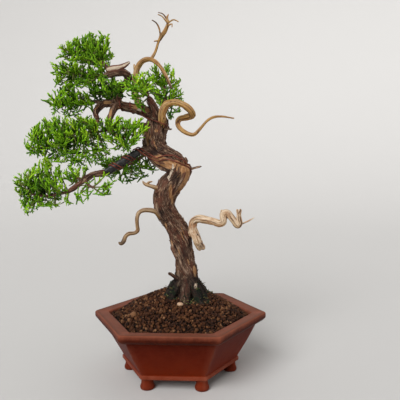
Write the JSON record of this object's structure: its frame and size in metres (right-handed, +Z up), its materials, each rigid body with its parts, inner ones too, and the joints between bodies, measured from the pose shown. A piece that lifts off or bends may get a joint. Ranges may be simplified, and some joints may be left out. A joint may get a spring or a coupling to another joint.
{
  "type": "itoigawa juniper bonsai in a hexagonal pot",
  "caption": "Informal upright juniper bonsai with a twisting trunk, pads of scale-like foliage, stripped deadwood branches and a hexagonal footed clay pot filled with granular soil.",
  "frame": {"origin": "middle of the bounding box, at the soles of the pot's feet", "axes": "+Z up, +X to the right and +Y to the back as seen from the tree's front"},
  "size_m": [0.2486, 0.1514, 0.3611],
  "materials": {
    "clay": "unglazed red-brown stoneware, matte, paler on the rim",
    "screen": "black plastic mesh",
    "soil": "granular fired clay grit, brown and orange-brown",
    "pebble": "smooth cream pebble",
    "bark": "flaking fibrous brown bark",
    "deadwood": "bare weathered wood, tan to orange",
    "tape": "black rubber tape, dull",
    "wire": "copper-red coated training wire, satin",
    "foliage": "fresh green scale leaves, yellow-green inside"
  },
  "bodies": {
    "root": {"pot": "clay", "drain_screen": "screen", "soil": "soil", "pebble": "pebble", "trunk": "bark", "jin_crown": "deadwood", "jin_loop": "deadwood", "jin_right": "deadwood", "jin_left": "deadwood", "jin_stub": "deadwood", "jin_apex": "deadwood", "branch_wrap": "tape", "wire_branch_1": "wire", "wire_branch_2": "wire", "wire_limb": "wire", "foliage_crown_top": "foliage", "foliage_crown_mid": "foliage", "foliage_crown_back": "foliage", "foliage_crown_low": "foliage", "foliage_middle": "foliage", "foliage_inner": "foliage", "foliage_front": "foliage", "foliage_right": "foliage", "foliage_first_tip": "foliage", "foliage_first_back": "foliage", "foliage_first_twig": "foliage", "foliage_under": "foliage", "foliage_rear": "foliage"}
  },
  "joints": []
}
